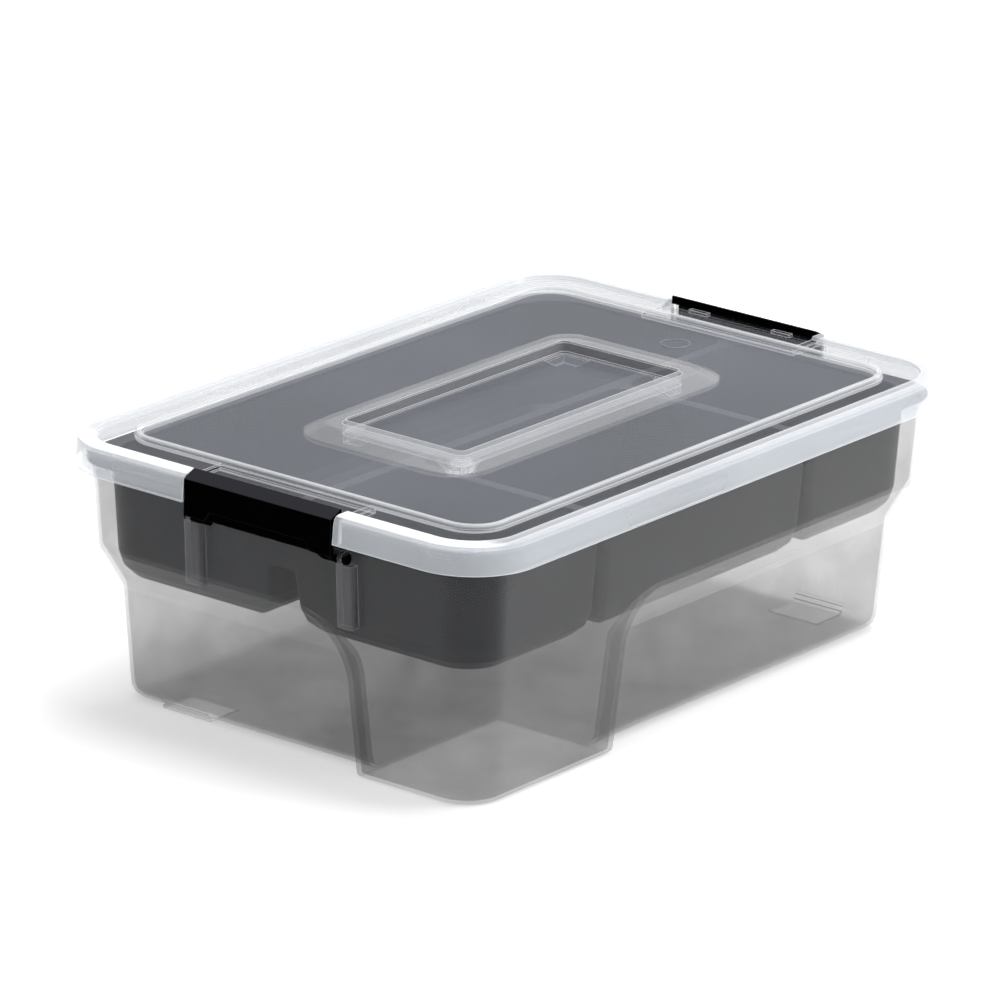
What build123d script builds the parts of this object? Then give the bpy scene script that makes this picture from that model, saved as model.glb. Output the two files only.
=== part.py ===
from build123d import *
import math
import os

# Storage box with a clip-on lid, two end latches and a lift-out tray.
# Sizes are in millimetres. X runs along the box, Z points up, z = 0 is the table.

# Tub shell, measured outside just under the shoulder that carries the tray
tub_length = 376.2
tub_width = 260.2
tub_height = 137.9
tub_corner_radius = 22.0
tub_wall = 1.8
tub_draft = 0.057
shoulder_depth = 10.7
rim_step = 4.9
rim_flange = 3.0

# Recess in the lower walls, which leaves a leg at two opposite corners
recess_depth = 9.1
recess_below_shoulder = 44.4
recess_slope_height = 21.0
recess_corner_radius = 16.0
recess_floor = 1.2
short_leg_edge = 46.0
short_arch_radius = 36.0
long_leg_edge = 67.0
long_arch_radius = 29.0
leg_draft = 0.09
leg_edge_radius = 4.0
recess_edge_radius = 7.0
pad_near = 55.0
pad_far = 86.0
pad_reach = 24.0

# Ribs and pin plates that carry each latch
rib_centre = 48.8
rib_width = 9.7
rib_rise = 5.2
rib_height = 33.0
rib_below_shoulder = 12.4
pin_plate_thickness = 2.4
pin_plate_radius = 3.5
pin_below_shoulder = 8.4
pin_offset = 3.9

# Lid
lid_wall = 1.8
lid_rest_gap = 0.3
lid_side_gap = 2.2
lid_corner_radius = 38.0
skirt_height = 14.5
skirt_flare = 1.0
lid_edge_radius = 4.0
band_width = 12.5
band_slope = 1.0
panel_drop = 1.6
bead_half_length = 168.8
bead_half_width = 114.0
bead_corner_radius = 18.0
bead_width = 4.0
bead_crown = 2.0
bead_rise = 2.2

# Raised frame in the middle of the lid, with its well and the lugs below it
frame_half_length = 113.0
frame_half_width = 57.4
frame_corner_radius = 24.0
frame_slope_length = 11.5
frame_slope_width = 9.6
frame_rise = 5.0
well_half_length = 88.8
well_half_width = 38.4
well_corner_radius = 3.5
well_depth = 6.0
lug_drop = 4.6
lug_top_length = 18.0
lug_top_width = 19.0
lug_foot_length = 8.0
lug_foot_width = 10.0
gate_ring_radius = 8.0
gate_ring_width = 1.2
gate_ring_rise = 0.4
gate_ring_x = 134.0

# Notches at the lid's ends, under the latches
notch_drop = 4.0
notch_set_back = 3.5
notch_side_gap = 1.0
catch_length = 12.0
catch_width = 3.0
catch_rise = 1.6
catch_centre = 27.0
rim_notch_gap = 0.5

# Tray
tray_wall = 1.5
tray_flange = 1.5
tray_rim_gap = 0.6
tray_side_gap = 3.0
tray_depth = 63.2
tray_draft = 0.065
tray_corner_radius = 30.0
pocket_corner_radius = 8.0
groove_corner_radius = 4.0
pocket_floor_radius = 12.0
divider_width = 6.6
divider_offset = 84.0
divider_draft = 0.03
centre_draft = 0.16
end_web_drop = 30.7
floor_thickness = 1.6

# Flats that each rounded edge is made of
round_steps = 3

# Latches
latch_width = 94.0
latch_reach = 0.0
latch_plate = 2.4
latch_top_rise = 4.0
latch_front_height = 19.0
latch_drop = 6.5
lip_gap = 1.2
lip_thickness = 1.8
lip_reach = 8.3
arm_width = 7.0
arm_inset = 3.6
barrel_radius = 3.0
pin_radius = 1.8
pin_gap = 0.07
pin_side_gap = 0.6
knob_radius = 3.0
knob_length = 1.6
knob_gap = 0.3
grip_depth = 1.1
grip_top_half = 30.7
grip_bottom_half = 34.8
grip_height = 4.8
grip_ledge = 5.0

# Heights and half sizes that follow from the values above
ledge_top = tub_height - shoulder_depth
ledge_bottom = ledge_top - tub_wall
recess_top = ledge_bottom - recess_below_shoulder
recess_bottom = recess_top - recess_slope_height
rib_high = ledge_bottom - rib_below_shoulder
rib_low = rib_high - rib_height
pin_height = ledge_bottom - pin_below_shoulder
half_length = tub_length / 2
half_width = tub_width / 2
rim_inner_step = rim_step - tub_wall
lid_inset = rim_step + rim_flange + lid_side_gap + lid_wall
lid_half_length = half_length + lid_inset
lid_half_width = half_width + lid_inset
band_top = tub_height + lid_rest_gap + lid_wall
skirt_bottom = band_top - skirt_height
panel_top = band_top - panel_drop
frame_top = panel_top + frame_rise
well_floor = frame_top - well_depth
notch_floor = band_top - notch_drop
notch_half_width = latch_width / 2 + notch_side_gap
notch_inner = bead_half_length + bead_width / 2
notch_outer = lid_half_length - notch_set_back
pin_x = half_length + pin_offset
plate_outer = lid_half_length + latch_reach
plate_inner = plate_outer - latch_plate
latch_bottom = skirt_bottom - latch_drop
latch_shoulder = latch_bottom + latch_front_height
latch_crown = latch_shoulder + latch_top_rise
lip_inner = plate_outer - lip_reach
lip_bottom = notch_floor + lip_gap
pin_plate_inner = latch_width / 2 + pin_side_gap
pin_plate_outer = pin_plate_inner + pin_plate_thickness
tray_top = ledge_top + tray_flange
tray_floor = tray_top - tray_depth


def outline(half_x, half_y, radius, z):
    return Plane.XY.offset(z) * RectangleRounded(2 * half_x, 2 * half_y, radius)


def stack(sections):
    return loft([outline(*section) for section in sections], ruled=True)


def block(lower, upper):
    return stack([lower, upper])


# Steps of a rounded edge: how far each is moved in, and how far it lies from
# the flat face where the rounding ends.
def rounding(radius):
    angles = [math.pi / 2 * i / round_steps for i in range(round_steps + 1)]
    return [(radius * (1 - math.sin(a)), radius * (1 - math.cos(a))) for a in angles]


def straight_block(half_x, half_y, radius, low, high):
    return block((half_x, half_y, radius, low), (half_x, half_y, radius, high))


def box_between(x_range, y_range, z_range):
    size = [high - low for low, high in (x_range, y_range, z_range)]
    centre = [(high + low) / 2 for low, high in (x_range, y_range, z_range)]
    return Pos(*centre) * Box(*size)


def half_turn(shape):
    return Rot(0, 0, 180) * shape


def both_ends(shape):
    return shape + half_turn(shape)


def wall_at(z, inset, corner):
    slope = tub_draft * (ledge_bottom - z)
    return half_length - slope - inset, half_width - slope - inset, corner, z


def foot_sections(z, inset, corner, radius):
    return [wall_at(z + rise, inset + step, corner - step) for step, rise in rounding(radius)]


# Outline of a recess seen from the side: the leg's edge leans a little and
# runs into the top of the recess through the arch. It starts at the leg
# nearest the origin of its own axis and runs on past the far corner.
def recess_profile(edge, radius, inset):
    top = recess_top + inset
    bend = radius + inset
    foot_z = -inset - 1
    turn = top - bend
    foot = -edge - inset - leg_draft * (turn - foot_z)
    arc_start = (-edge - inset, turn)
    arc_end = (-edge - inset + bend, top)
    middle = (-edge - inset + bend * (1 - math.cos(math.pi / 4)), turn + bend * math.sin(math.pi / 4))
    far = half_length + radius
    lines = Line((foot, foot_z), arc_start)
    lines += ThreePointArc(arc_start, middle, arc_end)
    lines += Line(arc_end, (far, top))
    lines += Line((far, top), (far, foot_z))
    lines += Line((far, foot_z), (foot, foot_z))
    return make_face(lines)


# Solid that the tub's walls follow, moved in by an inset. The tub's shell lies
# between this solid with no inset and the same solid with the wall as inset.
def tub_form(inset):
    corner = tub_corner_radius - inset
    foot = foot_sections(inset, inset, corner, leg_edge_radius - inset)
    full = stack(foot + [wall_at(tub_height, inset, corner)])
    short_plane = Plane((-half_length - 20, 0, 0), x_dir=(0, 1, 0), z_dir=(1, 0, 0))
    short_side = extrude(short_plane * recess_profile(short_leg_edge, short_arch_radius, inset), half_length + 20)
    long_plane = Plane((0, half_width + 20, 0), x_dir=(-1, 0, 0), z_dir=(0, 1, 0))
    long_side = extrude(long_plane * recess_profile(long_leg_edge, long_arch_radius, inset), -half_width - 20)
    cut = short_side + long_side
    inner_corner = recess_corner_radius - inset
    foot = foot_sections(recess_floor + inset, recess_depth + inset, inner_corner, recess_edge_radius - inset)
    middle = wall_at(recess_bottom + inset, recess_depth + inset, inner_corner)
    high = wall_at(recess_top + inset, inset, corner)
    return full - cut - half_turn(cut) + stack(foot + [middle, high])


def latch_rib():
    low_x = wall_at(rib_low, 0, 0)[0]
    high_x = wall_at(rib_high, 0, 0)[0]
    back = 1.0
    points = [(low_x - back, rib_low), (low_x + rib_rise, rib_low)]
    points += [(high_x + rib_rise, rib_high), (high_x - back, rib_high)]
    face = Plane.XZ * make_face(Polyline(points, close=True))
    rib = Pos(0, rib_width / 2, 0) * extrude(face, rib_width)
    front = rib.edges().filter_by(Axis.Y, reverse=True).sort_by(Axis.X)[-2:]
    return Pos(0, rib_centre, 0) * fillet(front, 0.8)


def pin_plate():
    wall_x = wall_at(pin_height, 0, 0)[0] - tub_wall / 2
    disc = Pos(pin_x, pin_height) * Circle(pin_plate_radius)
    centre = ((wall_x + pin_x) / 2, pin_height)
    web = Pos(*centre) * Rectangle(pin_x - wall_x, 2 * pin_plate_radius)
    foot = Pos(wall_x + 1.6, pin_height - 3) * Rectangle(3.2, 2 * (pin_height - 3 - rib_high) + 2)
    hole = Pos(pin_x, pin_height) * Circle(pin_radius + pin_gap)
    face = Plane.XZ * (disc + web + foot - hole)
    return Pos(0, pin_plate_outer, 0) * extrude(face, pin_plate_thickness)


def foot_pad():
    half_x, half_y, corner, z = wall_at(recess_floor, recess_depth, recess_corner_radius)
    lower = (half_x - 2.5, half_y - 2.5, corner, 0)
    upper = (half_x + 0.3, half_y + 0.3, corner, recess_edge_radius)
    sole = block(lower, upper)
    keep = box_between((-half_x - 5, -half_x + pad_reach), (pad_near, pad_far), (-1, recess_edge_radius - 1))
    pad = sole & keep
    inside = block(wall_at(recess_floor + 1, recess_depth + 1, corner), wall_at(20, recess_depth + 1, corner))
    return pad - inside


def tub():
    shell = tub_form(0)
    rim_corner = tub_corner_radius + rim_step
    rim = straight_block(half_length + rim_step, half_width + rim_step, rim_corner, ledge_bottom, tub_height)
    flange_inset = lid_wall + lid_side_gap
    flange_x = lid_half_length - flange_inset
    flange_y = lid_half_width - flange_inset
    flange = straight_block(flange_x, flange_y, lid_corner_radius - flange_inset, tub_height - tub_wall, tub_height)
    inner_x = half_length + rim_inner_step
    inner_y = half_width + rim_inner_step
    inner_corner = tub_corner_radius + rim_inner_step
    opening = straight_block(inner_x, inner_y, inner_corner, ledge_top, tub_height + 1)
    body = shell + rim + flange - tub_form(tub_wall) - opening
    cut_half = notch_half_width + lid_wall + rim_notch_gap
    cut_low = notch_floor - lid_wall - lid_rest_gap
    notch = box_between((half_length - 20, lid_half_length), (-cut_half, cut_half), (cut_low, tub_height + 2))
    body = body - notch - half_turn(notch)
    side = latch_rib() + pin_plate()
    carriers = side + mirror(side, Plane.XZ)
    pads = both_ends(foot_pad())
    return body + both_ends(carriers) + pads


# Solid under the lid's top face, moved in by an inset. The lid's sheet lies
# between this solid with no inset and the same solid with the wall as inset.
def lid_form(inset):
    half_x = lid_half_length - inset
    half_y = lid_half_width - inset
    corner = lid_corner_radius - inset
    top = band_top - inset
    sections = [(half_x, half_y, corner, skirt_bottom)]
    for step, drop in reversed(rounding(lid_edge_radius - inset)):
        lean = skirt_flare + step
        sections += [(half_x - lean, half_y - lean, corner - lean, top - drop)]
    form = stack(sections)
    floor_x = lid_half_length - band_width + inset
    floor_y = lid_half_width - band_width + inset
    floor_corner = lid_corner_radius - band_width + inset
    slope = band_slope + band_slope / panel_drop
    low = (floor_x, floor_y, floor_corner, panel_top - inset)
    high = (floor_x + slope, floor_y + slope, floor_corner + slope, top + 1)
    form = form - block(low, high)
    base = (frame_half_length - inset, frame_half_width - inset, frame_corner_radius - inset, panel_top - inset)
    crown_x = frame_half_length - frame_slope_length - inset
    crown_y = frame_half_width - frame_slope_width - inset
    crown_corner = frame_corner_radius - frame_slope_width - inset
    frame = block(base, (crown_x, crown_y, crown_corner, frame_top - inset))
    well_x = well_half_length + inset
    well_y = well_half_width + inset
    well = straight_block(well_x, well_y, well_corner_radius + inset, well_floor - inset, frame_top + 1)
    form = form + frame - well
    side = notch_half_width + inset
    floor_cut = box_between((notch_inner - inset, lid_half_length + 5), (-side, side), (notch_floor - inset, band_top + 5))
    skirt_cut = box_between((notch_outer - inset, lid_half_length + 5), (-side, side), (skirt_bottom - 5, band_top + 5))
    notch = floor_cut + skirt_cut
    return form - notch - half_turn(notch)


# The bead is the ring between two lofted forms whose sides lean towards its
# crown in two slopes.
def bead():
    low = panel_top - 0.5
    shoulder = panel_top + 0.65 * bead_rise
    levels = [(bead_width / 2, low), (0.4 * bead_width, shoulder), (bead_crown / 2, panel_top + bead_rise)]
    x = bead_half_length
    y = bead_half_width
    r = bead_corner_radius
    outside = stack([(x + half, y + half, r + half, z) for half, z in levels])
    inside = stack([(x - half, y - half, r - half, z) for half, z in levels])
    return outside - inside


def well_lug():
    top = well_floor - lid_wall / 2
    low = well_floor - lid_wall - lug_drop
    x = well_half_length
    y = well_half_width
    along_x = Polyline([(x, low), (x, top), (x - lug_top_length, top), (x - lug_foot_length, low)], close=True)
    along_y = Polyline([(y, low), (y, top), (y - lug_top_width, top), (y - lug_foot_width, low)], close=True)
    plate_x = Pos(0, y, 0) * extrude(Plane.XZ * make_face(along_x), lid_wall)
    plate_y = Pos(x, 0, 0) * extrude(Plane.YZ * make_face(along_y), -lid_wall)
    return plate_x + plate_y


def gate_ring():
    low = panel_top - 0.5
    height = gate_ring_rise + 0.5
    ring = Circle(gate_ring_radius) - Circle(gate_ring_radius - gate_ring_width)
    return Pos(gate_ring_x, 0, low) * extrude(ring, height)


def catch_block():
    low = notch_floor - lid_wall / 2
    outer = lip_inner - 0.6
    half = catch_length / 2
    y_range = (catch_centre - half, catch_centre + half)
    return box_between((outer - catch_width, outer), y_range, (low, notch_floor + catch_rise))


def lid():
    sheet = lid_form(0) - lid_form(lid_wall)
    lug = well_lug()
    lugs = lug + mirror(lug, Plane.XZ)
    catches = catch_block() + mirror(catch_block(), Plane.XZ)
    return sheet + bead() + both_ends(lugs) + both_ends(catches) + gate_ring()


# Rectangle whose corners have their own radii, listed from the corner at low X
# and low Y round to the one at low X and high Y. The tray's outer corners are
# round, and a pocket's corners at the dividers are tighter.
def pocket_outline(x_range, y_range, radii, z):
    corner_x = [x_range[0], x_range[1], x_range[1], x_range[0]]
    corner_y = [y_range[0], y_range[0], y_range[1], y_range[1]]
    side_x = [1, -1, -1, 1]
    side_y = [1, 1, -1, -1]
    arcs = []
    for i, radius in enumerate(radii):
        centre = (corner_x[i] + side_x[i] * radius, corner_y[i] + side_y[i] * radius)
        arcs.append(CenterArc(centre, radius, 180 + 90 * i, 90))
    edge = Curve() + arcs
    for i, arc in enumerate(arcs):
        edge += Line(arc @ 1, arcs[(i + 1) % 4] @ 0)
    return Plane.XY.offset(z) * make_face(edge)


def pocket_limit_x():
    return half_length - tub_wall - tray_side_gap


def pocket_limit_y():
    return half_width - tub_wall - tray_side_gap


# One pocket of the tray, grown by a margin: with no margin it is the hollow,
# and with the wall as margin it is the outside of the pocket. Its sides are
# listed as low X, high X, low Y and high Y, and the ones that belong to the
# tray's own outline lean differently from the ones at a divider.
def pocket(x_range, y_range, own_sides, margin):
    floor_z = tray_floor + floor_thickness * (1 - margin / tray_wall)
    floor_radius = pocket_floor_radius + margin
    divider_drafts = (divider_draft, divider_draft, centre_draft, centre_draft)
    drafts = [tray_draft if own else draft for own, draft in zip(own_sides, divider_drafts)]
    corner_sides = ((0, 2), (1, 2), (1, 3), (0, 3))
    divider_corner = groove_corner_radius if margin else pocket_corner_radius
    levels = [(step, floor_z + rise) for step, rise in rounding(floor_radius)]
    sections = []
    for step, z in levels + [(0, tray_top)]:
        leans = [step - margin + draft * (tray_top - z) for draft in drafts]
        own_corner = tray_corner_radius - tray_wall - step + margin - tray_draft * (tray_top - z)
        inner_corner = divider_corner * (1 - 0.8 * step / floor_radius)
        radii = [own_corner if own_sides[i] and own_sides[j] else inner_corner for i, j in corner_sides]
        x_span = (x_range[0] + leans[0], x_range[1] - leans[1])
        y_span = (y_range[0] + leans[2], y_range[1] - leans[3])
        sections += [pocket_outline(x_span, y_span, radii, z)]
    return loft(sections, ruled=True)


# Three pockets side by side in the near row and one long pocket behind them,
# each with its range in X, its range in Y and which sides are the tray's own.
def pocket_list():
    end_x = pocket_limit_x() - tray_wall
    end_y = pocket_limit_y() - tray_wall
    half = divider_width / 2
    near_y = (-end_y, -half)
    pockets = [((-end_x, -divider_offset - half), near_y, (True, False, True, False))]
    pockets += [((-divider_offset + half, divider_offset - half), near_y, (False, False, True, False))]
    pockets += [((divider_offset + half, end_x), near_y, (False, True, True, False))]
    pockets += [((-end_x, end_x), (half, end_y), (True, True, False, True))]
    return pockets


# Web that closes the top of the gap between the two rows at the tray's end.
def end_web():
    low_z = tray_top - end_web_drop
    top_x = pocket_limit_x()
    low_x = top_x - tray_draft * end_web_drop
    points = [(low_x - tray_wall, low_z), (low_x, low_z), (top_x, tray_top), (top_x - tray_wall, tray_top)]
    half = divider_width / 2 + groove_corner_radius + centre_draft * end_web_drop
    face = Plane.XZ * make_face(Polyline(points, close=True))
    return Pos(0, half, 0) * extrude(face, 2 * half)


def insert_tray():
    edge_x = half_length + rim_inner_step - tray_rim_gap
    edge_y = half_width + rim_inner_step - tray_rim_gap
    corner = tub_corner_radius + rim_inner_step - tray_rim_gap
    tray = straight_block(edge_x, edge_y, corner, ledge_top, tray_top) + both_ends(end_web())
    for x_range, y_range, own_sides in pocket_list():
        tray = tray + pocket(x_range, y_range, own_sides, tray_wall)
    for x_range, y_range, own_sides in pocket_list():
        tray = tray - pocket(x_range, y_range, own_sides, 0)
    return tray


# Latch at the +X end: a front plate, a sloping top with a lip that drops into
# the lid's notch, a grip ledge below, and an arm with a pin at each side.
def latch():
    half = latch_width / 2
    front = [(plate_inner, latch_bottom), (plate_outer, latch_bottom), (plate_outer, latch_shoulder)]
    front += [(lip_inner, latch_crown), (lip_inner, lip_bottom), (lip_inner + lip_thickness, lip_bottom)]
    front += [(lip_inner + lip_thickness, latch_crown - 2.4), (plate_inner, latch_shoulder - 1.8)]
    profile = make_face(Polyline(front, close=True))
    body = Pos(0, half, 0) * extrude(Plane.XZ * profile, latch_width)
    shoulder = body.edges().filter_by(Axis.Y).filter_by_position(Axis.Z, latch_shoulder - 0.1, latch_shoulder + 0.1)
    body = fillet(shoulder, 1.2)
    crown = body.edges().filter_by(Axis.Y).filter_by_position(Axis.Z, latch_crown - 0.1, latch_crown + 0.1)
    body = fillet(crown, 0.6)
    grip = [(-grip_bottom_half, latch_bottom - 1), (grip_bottom_half, latch_bottom - 1)]
    grip += [(grip_top_half, latch_bottom + grip_height), (-grip_top_half, latch_bottom + grip_height)]
    grip_face = Plane((plate_outer, 0, 0), x_dir=(0, 1, 0), z_dir=(1, 0, 0)) * make_face(Polyline(grip, close=True))
    body = body - extrude(grip_face, -grip_depth)
    ledge_half = half - arm_inset - arm_width / 2
    ledge_x = (plate_inner - grip_ledge + latch_plate, plate_inner + 0.5)
    body += box_between(ledge_x, (-ledge_half, ledge_half), (latch_bottom, latch_bottom + 1.8))
    arm = [(pin_x + 1.2, pin_height - 2.7), (plate_outer - 0.6, latch_bottom), (plate_outer - 0.6, latch_bottom + 5)]
    arm += [(plate_inner, latch_bottom + 5), (pin_x, pin_height + barrel_radius)]
    side = make_face(Polyline(arm, close=True)) + Pos(pin_x, pin_height) * Circle(barrel_radius)
    arm_solid = Pos(0, half - arm_inset, 0) * extrude(Plane.XZ * side, arm_width)
    barrel = Pos(0, half, 0) * extrude(Plane.XZ * (Pos(pin_x, pin_height) * Circle(barrel_radius)), arm_inset + 1)
    knob_start = pin_plate_outer + knob_gap
    pin_axis = Plane((pin_x, half - arm_width / 2, pin_height), x_dir=(1, 0, 0), z_dir=(0, 1, 0))
    pin = extrude(pin_axis * Circle(pin_radius), knob_start + knob_length - half + arm_width / 2)
    knob_plane = Plane((pin_x, knob_start, pin_height), x_dir=(1, 0, 0), z_dir=(0, 1, 0))
    knob = extrude(knob_plane * Circle(knob_radius), knob_length)
    knob = chamfer(knob.edges().sort_by(Axis.Y)[-1:], 0.6)
    end = arm_solid + barrel + pin + knob
    return body + end + mirror(end, Plane.XZ)


def save(shape, name):
    solids = shape.solids()
    print(name, "solids", len(solids), "volume", round(shape.volume, 1))
    export_step(shape, "parts/" + name + ".step")


os.makedirs("parts", exist_ok=True)
save(tub(), "tub")
save(lid(), "lid")
save(insert_tray(), "insert_tray")
save(latch(), "latch_back")
save(half_turn(latch()), "latch_front")
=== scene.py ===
import bpy
import math
from mathutils import Matrix, Vector


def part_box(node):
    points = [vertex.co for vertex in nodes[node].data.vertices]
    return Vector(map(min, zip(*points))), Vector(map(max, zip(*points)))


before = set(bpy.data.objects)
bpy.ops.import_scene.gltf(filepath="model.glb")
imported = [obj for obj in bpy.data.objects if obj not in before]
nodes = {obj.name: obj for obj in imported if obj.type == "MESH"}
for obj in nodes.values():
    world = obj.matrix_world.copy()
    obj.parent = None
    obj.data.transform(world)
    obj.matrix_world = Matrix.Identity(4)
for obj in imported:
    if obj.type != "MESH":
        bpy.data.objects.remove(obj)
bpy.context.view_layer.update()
print("frame loaded:", sorted(nodes))


# A shader socket that can be used in sums: each operator adds one Math node.
class Value:
    def __init__(self, maker, socket):
        self.maker = maker
        self.socket = socket

    def math(self, operation, first, second=0.0):
        return self.maker.node("ShaderNodeMath", {"operation": operation}, {0: first, 1: second})

    def __add__(self, other):
        return self.math("ADD", self, other)

    def __sub__(self, other):
        return self.math("SUBTRACT", self, other)

    def __rsub__(self, other):
        return self.math("SUBTRACT", other, self)

    def __mul__(self, other):
        return self.math("MULTIPLY", self, other)

    def __truediv__(self, other):
        return self.math("DIVIDE", self, other)

    def __pow__(self, other):
        return self.math("POWER", self, other)

    def __abs__(self):
        return self.math("ABSOLUTE", self)

    def above(self, other):
        return self.math("MAXIMUM", self, other)

    def below(self, other):
        return self.math("MINIMUM", self, other)

    __radd__ = __add__
    __rmul__ = __mul__


# The nodes of one material or of the world; every node comes from node().
class NodeMaker:
    def __init__(self, owner):
        owner.use_nodes = True
        self.tree = owner.node_tree
        self.tree.nodes.clear()

    def node(self, kind, settings, values, output=0):
        made = self.tree.nodes.new(kind)
        for name, setting in settings.items():
            setattr(made, name, setting)
        for name, value in values.items():
            if isinstance(value, Value):
                self.tree.links.new(value.socket, made.inputs[name])
            else:
                made.inputs[name].default_value = value
        return Value(self, made.outputs[output]) if len(made.outputs) else made

    # 1 to the eye, to gloss and through clear sheets, 0 for light that falls on the box.
    def seen(self):
        rays = [self.node("ShaderNodeLightPath", {}, {}, "Is %s Ray" % kind) for kind in ("Camera", "Glossy", "Transmission")]
        return rays[0].above(rays[1]).above(rays[2])


# What all the mouldings share: the plastic's index, the softness of its clouds and
# drift, the strength of its grain, and how far a normal turns at an edge for the painted edge highlights.
plastic = {
    "index": 1.49, "cloudDetail": 3.0, "cloudRange": (0.3, 0.7), "driftDetail": 1.0, "driftRange": (0.35, 0.65),
    "grainDetail": 2.0, "grainStrength": 0.15, "edgeSamples": 8, "edgeHighlightRange": (0.004, 0.16)}


# One material: places and patterns on its surface, read in the box's own frame.
class Finish(NodeMaker):
    def __init__(self, name):
        self.material = bpy.data.materials.new(name)
        super().__init__(self.material)
        self.place = self.node("ShaderNodeTexCoord", {}, {}, "Object")
        self.x, self.y, self.z = (self.part(self.place, axis) for axis in "XYZ")
        self.tilt = self.part(self.node("ShaderNodeTexCoord", {}, {}, "Normal"), "Z")

    def part(self, vector, axis):
        return self.node("ShaderNodeSeparateXYZ", {}, {0: vector}, axis)

    def noise(self, scale, detail):
        return self.node("ShaderNodeTexNoise", {}, {"Vector": self.place, "Scale": scale, "Detail": detail}, "Fac")

    def cloud(self, scale):
        return self.fade(self.noise(scale, plastic["cloudDetail"]), plastic["cloudRange"])

    def drift(self, scale):
        return self.fade(self.noise(scale, plastic["driftDetail"]), plastic["driftRange"])

    def grain(self, scale, depth):
        height = self.noise(scale, plastic["grainDetail"])
        return self.node("ShaderNodeBump", {}, {"Height": height, "Distance": depth, "Strength": plastic["grainStrength"]})

    # A smooth step: start at the span's first number, end at its second.
    def fade(self, value, span, start=0.0, end=1.0):
        values = {"Value": value, "From Min": span[0], "From Max": span[1], "To Min": start, "To Max": end}
        return self.node("ShaderNodeMapRange", {"interpolation_type": "SMOOTHSTEP"}, values)

    def blend(self, factor, first, second):
        return self.node("ShaderNodeMix", {"data_type": "RGBA"}, {0: factor, 6: first, 7: second}, 2)

    # How far a point lies outside a rectangle with round corners, less than 0 inside it.
    def beyond(self, halfX, halfY, corner):
        acrossX = abs(self.x) - (halfX - corner)
        acrossY = abs(self.y) - (halfY - corner)
        rounded = (acrossX.above(0.0) ** 2.0 + acrossY.above(0.0) ** 2.0) ** 0.5
        return rounded + acrossX.above(acrossY).below(0.0) - corner

    # Least inside a circle on the sheet, where the painted edge highlights stay quiet, and 1 outside it.
    def outside(self, centre, span, least):
        away = ((self.x - centre[0]) ** 2.0 + (self.y - centre[1]) ** 2.0) ** 0.5
        return self.fade(away, span, least)

    # 0 on a flat face, rising to 1 where a rounded normal leaves the face's own: the mask of the painted edge
    # highlights.
    def edges(self, radius):
        soft = self.node("ShaderNodeBevel", {"samples": plastic["edgeSamples"]}, {"Radius": radius})
        sharp = self.node("ShaderNodeNewGeometry", {}, {}, "Normal")
        likeness = self.node("ShaderNodeVectorMath", {"operation": "DOT_PRODUCT"}, {0: soft, 1: sharp}, "Value")
        return self.fade(1.0 - likeness, plastic["edgeHighlightRange"])

    # Share of light that a glossy face sends back: low face on, high at a grazing angle.
    def sheen(self, faceOn, rise):
        facing = self.node("ShaderNodeLayerWeight", {}, {"Blend": 0.5}, "Facing")
        return faceOn + (1.0 - faceOn) * facing ** rise

    def close(self, surface):
        self.node("ShaderNodeOutputMaterial", {}, {"Surface": surface})
        return self.material


# How much the sheets' clouds and drift change their body and their roughness.
sheetLook = {
    "mirrorColour": (1, 1, 1, 1), "specular": 0.5, "cloudBody": (0.85, 0.3), "driftBody": (0.9, 0.2),
    "cloudRoughness": 0.05}


# Clear and milky mouldings: a sheet that lets some light straight through. Its
# body scatters, its gloss mirrors, and the two together hide what lies behind.
def sheetFinish(name, look, zones):
    finish = Finish(name)
    cloud = finish.cloud(look["cloudScale"])
    drift = finish.drift(look["driftScale"])
    leastCloud, cloudSpread = sheetLook["cloudBody"]
    leastDrift, driftSpread = sheetLook["driftBody"]
    colour = finish.blend(cloud, look["colour"], look["cloudColour"])
    body = look["body"] * (leastCloud + cloudSpread * cloud)
    for mask, zoneBody, zoneColour in zones(finish):
        colour = finish.blend(mask, colour, zoneColour)
        body = body + mask * ((leastDrift + driftSpread * drift) * zoneBody - body)
    # Painted highlight: along every edge the sheet turns whiter and denser, less so inside the ring.
    edge = finish.edges(look["edgeRadius"])
    if "ring" in look:
        edge = edge * finish.outside(look["ring"], look["ringSpan"], look["ringEdgeHighlight"])
    colour = finish.blend(edge, colour, look["edgeHighlightColour"])
    body = body + edge * (look["edgeHighlightBody"] - body).above(0.0)
    gloss = finish.sheen(look["faceOn"], look["rise"]) * look["gloss"]
    whole = (body + gloss).below(1.0)
    mirror = gloss / whole
    skin = finish.node("ShaderNodeBsdfPrincipled", {}, {
        "Base Color": finish.blend(mirror, colour, sheetLook["mirrorColour"]),
        "Metallic": mirror,
        "Roughness": look["roughness"] + sheetLook["cloudRoughness"] * cloud,
        "IOR": plastic["index"],
        "Specular IOR Level": sheetLook["specular"],
        "Normal": finish.grain(look["grainScale"], look["grainDepth"])})
    through = finish.node("ShaderNodeBsdfTransparent", {}, {"Color": (1, 1, 1, 1)})
    return finish.close(finish.node("ShaderNodeMixShader", {}, {0: whole, 1: through, 2: skin}))


solidLook = {"topPaintedLightTilt": (0.45, 0.75), "cloudRoughness": 0.06}


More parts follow.
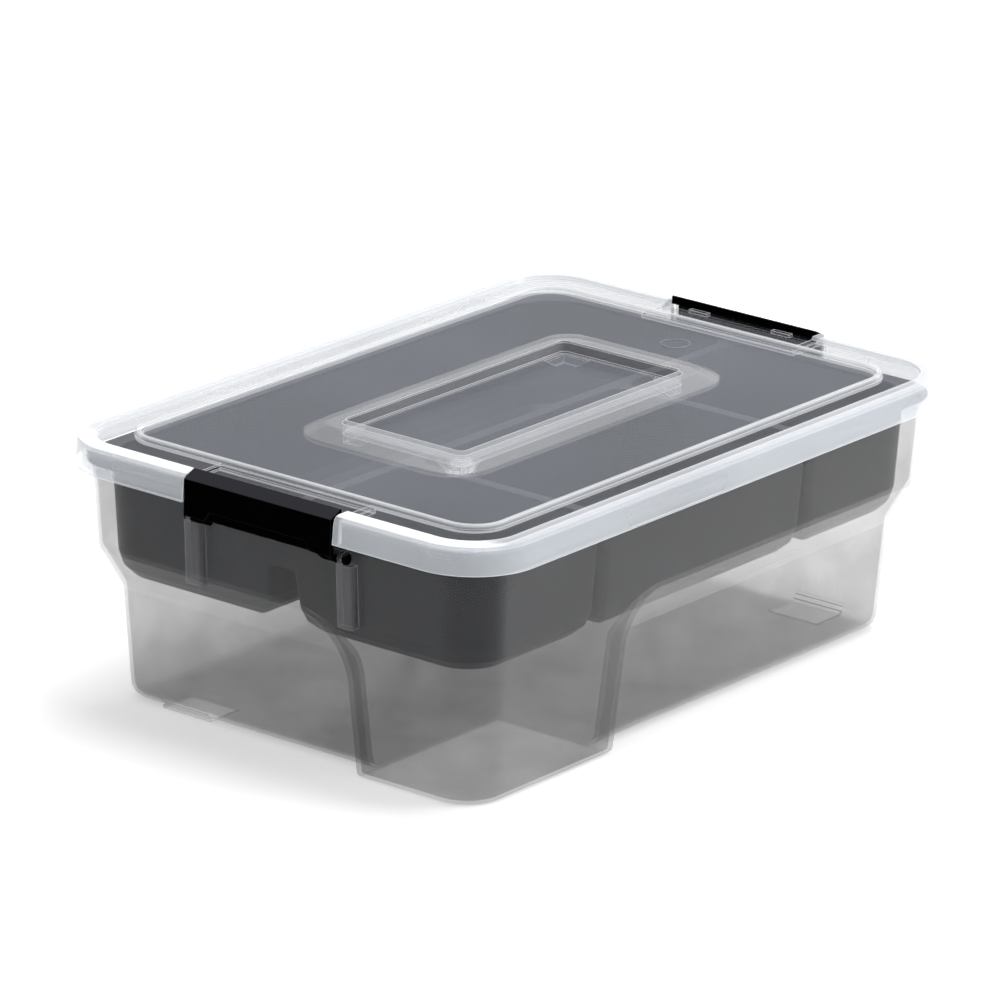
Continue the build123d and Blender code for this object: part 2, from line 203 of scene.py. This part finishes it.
# Dense mouldings: the tray and the latches, with painted light on faces that look up and a painted highlight along
# their edges.
def solidFinish(name, look):
    finish = Finish(name)
    cloud = finish.cloud(look["cloudScale"])
    colour = finish.blend(cloud, look["colour"], look["cloudColour"])
    # Painted light on faces that look up: painted shade on the tray's tops, a painted sheen on the latches' tops.
    colour = finish.blend(finish.fade(finish.tilt, solidLook["topPaintedLightTilt"]), colour, look["topPaintedLightColour"])
    # Painted highlight along the edges.
    colour = finish.blend(finish.edges(look["edgeRadius"]), colour, look["edgeHighlightColour"])
    skin = finish.node("ShaderNodeBsdfPrincipled", {}, {
        "Base Color": colour,
        "Roughness": look["roughness"] + solidLook["cloudRoughness"] * cloud,
        "IOR": plastic["index"],
        "Specular IOR Level": look["gloss"],
        "Normal": finish.grain(look["grainScale"], look["grainDepth"])})
    return finish.close(skin)


# Tub, in metres: each span is where a zone starts and where it is whole.
tubLook = {
    "colour": (0.025, 0.025, 0.025, 1), "cloudColour": (0.033, 0.033, 0.033, 1), "body": 0.21,
    "faceOn": 0.004, "rise": 4.0, "gloss": 0.70, "roughness": 0.10,
    # The edge colour and body are a painted highlight along the edges.
    "edgeHighlightColour": (0.42, 0.42, 0.43, 1), "edgeRadius": 0.0008, "edgeHighlightBody": 0.45,
    # The soffit colour and body are painted shade on the downward-sloping soffit.
    "soffitShadeColour": (0.09, 0.09, 0.09, 1), "soffitShadeBody": 0.20, "soffitTilt": (0.2, 0.3),
    "soffitFoot": (0.056, 0.060), "soffitHead": (0.083, 0.081),
    "rimColour": (0.80, 0.81, 0.83, 1), "rimBody": 0.06, "rimDepth": (0.0145, 0.0125),
    "ribColour": (0.22, 0.22, 0.24, 1), "ribBody": 0.22, "ribCentre": 0.0488, "ribAcross": (0.0052, 0.0049),
    "ribProud": (0.1885, 0.1888), "ribTop": (0.1140, 0.1135),
    "cloudScale": 26.0, "driftScale": 9.0, "grainScale": 420.0, "grainDepth": 0.00001}


# Zones of the tub's sheet: painted shade on the sloping soffit over the recess, which faces down; a lighter grey on the
# latch ribs; a clearer, paler rim.
def tubZones(finish):
    look = tubLook
    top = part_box("tub")[1].z
    # Painted shade on the soffit, where the sheet faces down over the recess.
    soffit = finish.fade(abs(finish.tilt), look["soffitTilt"])
    soffit = soffit * finish.fade(finish.z, look["soffitFoot"]) * finish.fade(finish.z, look["soffitHead"])
    rib = finish.fade(abs(abs(finish.y) - look["ribCentre"]), look["ribAcross"])
    rib = rib * finish.fade(abs(finish.x), look["ribProud"]) * finish.fade(finish.z, look["ribTop"])
    rim = finish.fade(finish.z, [top - depth for depth in look["rimDepth"]])
    return [
        (soffit, look["soffitShadeBody"], look["soffitShadeColour"]),
        (rib, look["ribBody"], look["ribColour"]),
        (rim, look["rimBody"], look["rimColour"])]


# Lid, in metres: bead, frame and well are half length, half width and corner radius.
lidLook = {
    "colour": (0.60, 0.68, 0.85, 1), "cloudColour": (0.64, 0.72, 0.88, 1), "body": 0.03,
    "faceOn": 0.04, "rise": 5.0, "gloss": 0.2, "roughness": 0.12,
    # The edge colour and body are a painted highlight along the edges.
    "edgeHighlightColour": (0.98, 0.98, 1.0, 1), "edgeRadius": 0.0009, "edgeHighlightBody": 0.80,
    "ring": (0.134, 0.0), "ringSpan": (0.0095, 0.0105), "ringEdgeHighlight": 0.25,
    "panelColour": (0.215, 0.25, 0.32, 1), "panelBody": 0.15, "panelSpan": (0.0, -0.001),
    # The bead colour and body are a painted highlight on the bead's crown.
    "bead": (0.1688, 0.114, 0.018), "beadHighlightColour": (0.90, 0.91, 0.94, 1), "beadHighlightBody": 0.42, "beadSpan": (0.0022, 0.0016),
    "frame": (0.113, 0.0574, 0.024), "frameColour": (0.66, 0.67, 0.71, 1), "frameBody": 0.22, "frameSpan": (0.0, -0.001),
    "well": (0.0888, 0.0384, 0.0035), "wellSpan": (-0.001, 0.0),
    # The band colour and body are partly the layered sheets over the tub's rim and partly painted light where light
    # catches that rim.
    "corner": 0.038, "bandLayersAndLightColour": (0.80, 0.82, 0.86, 1), "bandLayersAndLightBody": 0.44, "bandSpan": (-0.0135, -0.0120),
    # The end colour and body are a painted highlight on the border band's near end.
    "notchSpan": (0.0478, 0.0488), "nearEndHighlightColour": (0.97, 0.98, 1.0, 1), "nearEndHighlightBody": 0.85, "endSpan": (-0.172, -0.184),
    "skirtColour": (0.80, 0.85, 0.91, 1), "skirtBody": 0.30, "skirtSpan": (-0.0035, -0.0025),
    "cloudScale": 22.0, "driftScale": 7.0, "grainScale": 380.0, "grainDepth": 0.00001}


# Where the lid's sheet looks denser: the panel inside the bead, the raised frame round
# the well, the bead with a painted highlight on its crown, the border band but not its notches
# (partly its layered sheets, partly painted light), its near end with a painted highlight, and the skirt.
def lidZones(finish):
    look = lidLook
    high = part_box("lid")[1]
    toEdge = finish.beyond(high.x, high.y, look["corner"])
    toBead = finish.beyond(*look["bead"])
    panel = finish.fade(toBead, look["panelSpan"])
    frameRing = finish.fade(finish.beyond(*look["frame"]), look["frameSpan"])
    frameRing = frameRing * finish.fade(finish.beyond(*look["well"]), look["wellSpan"])
    # Painted highlight on the bead's crown.
    bead = finish.fade(abs(toBead), look["beadSpan"])
    # The border band: partly layered sheets over the rim, partly painted light.
    band = finish.fade(toEdge, look["bandSpan"]) * finish.fade(abs(finish.y), look["notchSpan"])
    # Painted highlight on the band's near end.
    end = band * finish.fade(finish.x, look["endSpan"])
    skirt = finish.fade(toEdge, look["skirtSpan"])
    return [
        (panel, look["panelBody"], look["panelColour"]),
        (frameRing, look["frameBody"], look["frameColour"]),
        (bead, look["beadHighlightBody"], look["beadHighlightColour"]),
        (band, look["bandLayersAndLightBody"], look["bandLayersAndLightColour"]),
        (end, look["nearEndHighlightBody"], look["nearEndHighlightColour"]),
        (skirt, look["skirtBody"], look["skirtColour"])]


# Tray and latches: the top colour is painted light on faces that look up, painted shade on the tray and a painted sheen
# on the latches; the edge colour is a painted highlight.
trayLook = {
    "colour": (0.021, 0.023, 0.029, 1), "cloudColour": (0.025, 0.027, 0.034, 1), "topPaintedLightColour": (0.013, 0.016, 0.025, 1),
    "edgeHighlightColour": (0.055, 0.058, 0.066, 1), "edgeRadius": 0.0007, "roughness": 0.38, "gloss": 0.25,
    "cloudScale": 30.0, "grainScale": 600.0, "grainDepth": 0.00001}
latchLook = {
    "colour": (0.0006, 0.0006, 0.0007, 1), "cloudColour": (0.0010, 0.0010, 0.0011, 1), "topPaintedLightColour": (0.027, 0.027, 0.032, 1),
    "edgeHighlightColour": (0.014, 0.014, 0.015, 1), "edgeRadius": 0.0006, "roughness": 0.22, "gloss": 0.0,
    "cloudScale": 40.0, "grainScale": 700.0, "grainDepth": 0.00001}

finishes = {
    "tub": sheetFinish("tubClear", tubLook, tubZones),
    "lid": sheetFinish("lidMilky", lidLook, lidZones),
    "insert_tray": solidFinish("trayDark", trayLook),
    "latch_back": solidFinish("latchBlack", latchLook)}
finishes["latch_front"] = finishes["latch_back"]
for name, finish in finishes.items():
    nodes[name].data.materials.clear()
    nodes[name].data.materials.append(finish)
print("finishes made")


# Floor: a pale plane that reads as the white background and keeps the shadow.
floorLook = {
    "half": 6.0, "colour": (0.80, 0.80, 0.80, 1), "grainColour": (0.82, 0.82, 0.82, 1), "grainScale": 40.0,
    "roughness": 0.9, "specular": 0.0, "glow": 0.38}


def floorMaterial():
    finish = Finish("floorPale")
    grain = finish.noise(floorLook["grainScale"], plastic["grainDetail"])
    skin = finish.node("ShaderNodeBsdfPrincipled", {}, {
        "Base Color": finish.blend(grain, floorLook["colour"], floorLook["grainColour"]),
        "Roughness": floorLook["roughness"],
        "Specular IOR Level": floorLook["specular"]})
    glow = finish.node("ShaderNodeEmission", {}, {"Color": (1, 1, 1, 1), "Strength": finish.seen() * floorLook["glow"]})
    return finish.close(finish.node("ShaderNodeAddShader", {}, {0: skin, 1: glow}))


def makeFloor():
    half = floorLook["half"]
    corners = [(-half, -half, 0), (half, -half, 0), (half, half, 0), (-half, half, 0)]
    mesh = bpy.data.meshes.new("floor")
    mesh.from_pydata(corners, [], [(0, 1, 2, 3)])
    mesh.materials.append(floorMaterial())
    floor = bpy.data.objects.new("floor", mesh)
    bpy.context.scene.collection.objects.link(floor)


# World: white to the eye, to gloss and through clear plastic, softer as light.
worldLook = {"seen": 1.0, "light": 0.50}


def makeWorld():
    world = bpy.data.worlds.new("studio")
    bpy.context.scene.world = world
    sky = NodeMaker(world)
    strength = sky.node("ShaderNodeMapRange", {}, {
        "Value": sky.seen(), "To Min": worldLook["light"], "To Max": worldLook["seen"]})
    white = sky.node("ShaderNodeBackground", {}, {"Color": (1, 1, 1, 1), "Strength": strength})
    sky.node("ShaderNodeOutputWorld", {}, {"Surface": white})


# Soft boxes: one overhead, a weak one at the near end and one along the near long side.
lamps = {
    "top": {"at": (0.45, -0.10, 2.2), "aim": (0, 0, 0.1), "size": (1.6, 1.3), "watts": 40.0},
    "left": {"at": (-1.9, -0.3, 1.3), "aim": (0, 0, 0.1), "size": (1.2, 1.0), "watts": 4.0},
    "right": {"at": (1.5, -2.2, 1.4), "aim": (0, 0, 0.1), "size": (1.2, 1.0), "watts": 38.0}}


def makeLamps():
    for name, lamp in lamps.items():
        data = bpy.data.lights.new(name, "AREA")
        data.shape = "RECTANGLE"
        data.size, data.size_y = lamp["size"]
        data.energy = lamp["watts"]
        light = bpy.data.objects.new(name, data)
        light.location = lamp["at"]
        aim = Vector(lamp["aim"]) - Vector(lamp["at"])
        light.rotation_euler = aim.to_track_quat("-Z", "Y").to_euler()
        bpy.context.scene.collection.objects.link(light)


# Camera: turned round the box by azimuth and elevation, then rolled and moved.
cameraLook = {
    "azimuth": -51.47, "elevation": 18.77, "roll": 1.07, "lens": 279.2, "sensor": 36.0, "reach": 50.0,
    "target": (0.0, 0.0, 0.080), "distance": 3.9422, "across": 0.006016, "up": -0.006545}


def makeCamera():
    look = cameraLook
    azimuth, elevation, roll = (math.radians(look[angle]) for angle in ("azimuth", "elevation", "roll"))
    back = Vector((
        math.sin(azimuth) * math.cos(elevation),
        -math.cos(azimuth) * math.cos(elevation),
        math.sin(elevation)))
    level = Vector((math.cos(azimuth), math.sin(azimuth), 0))
    upright = back.cross(level)
    right = math.cos(roll) * level + math.sin(roll) * upright
    up = math.cos(roll) * upright - math.sin(roll) * level
    place = Vector(look["target"]) + back * look["distance"] - right * look["across"] - up * look["up"]
    data = bpy.data.cameras.new("camera")
    data.lens = look["lens"]
    data.sensor_width = look["sensor"]
    data.clip_end = look["reach"]
    camera = bpy.data.objects.new("camera", data)
    camera.matrix_world = Matrix.Translation(place) @ Matrix((right, up, back)).transposed().to_4x4()
    bpy.context.scene.collection.objects.link(camera)
    bpy.context.scene.camera = camera


makeFloor()
makeWorld()
makeLamps()
makeCamera()
bpy.context.scene.view_settings.view_transform = "Standard"
print("stage, lamps and camera made")
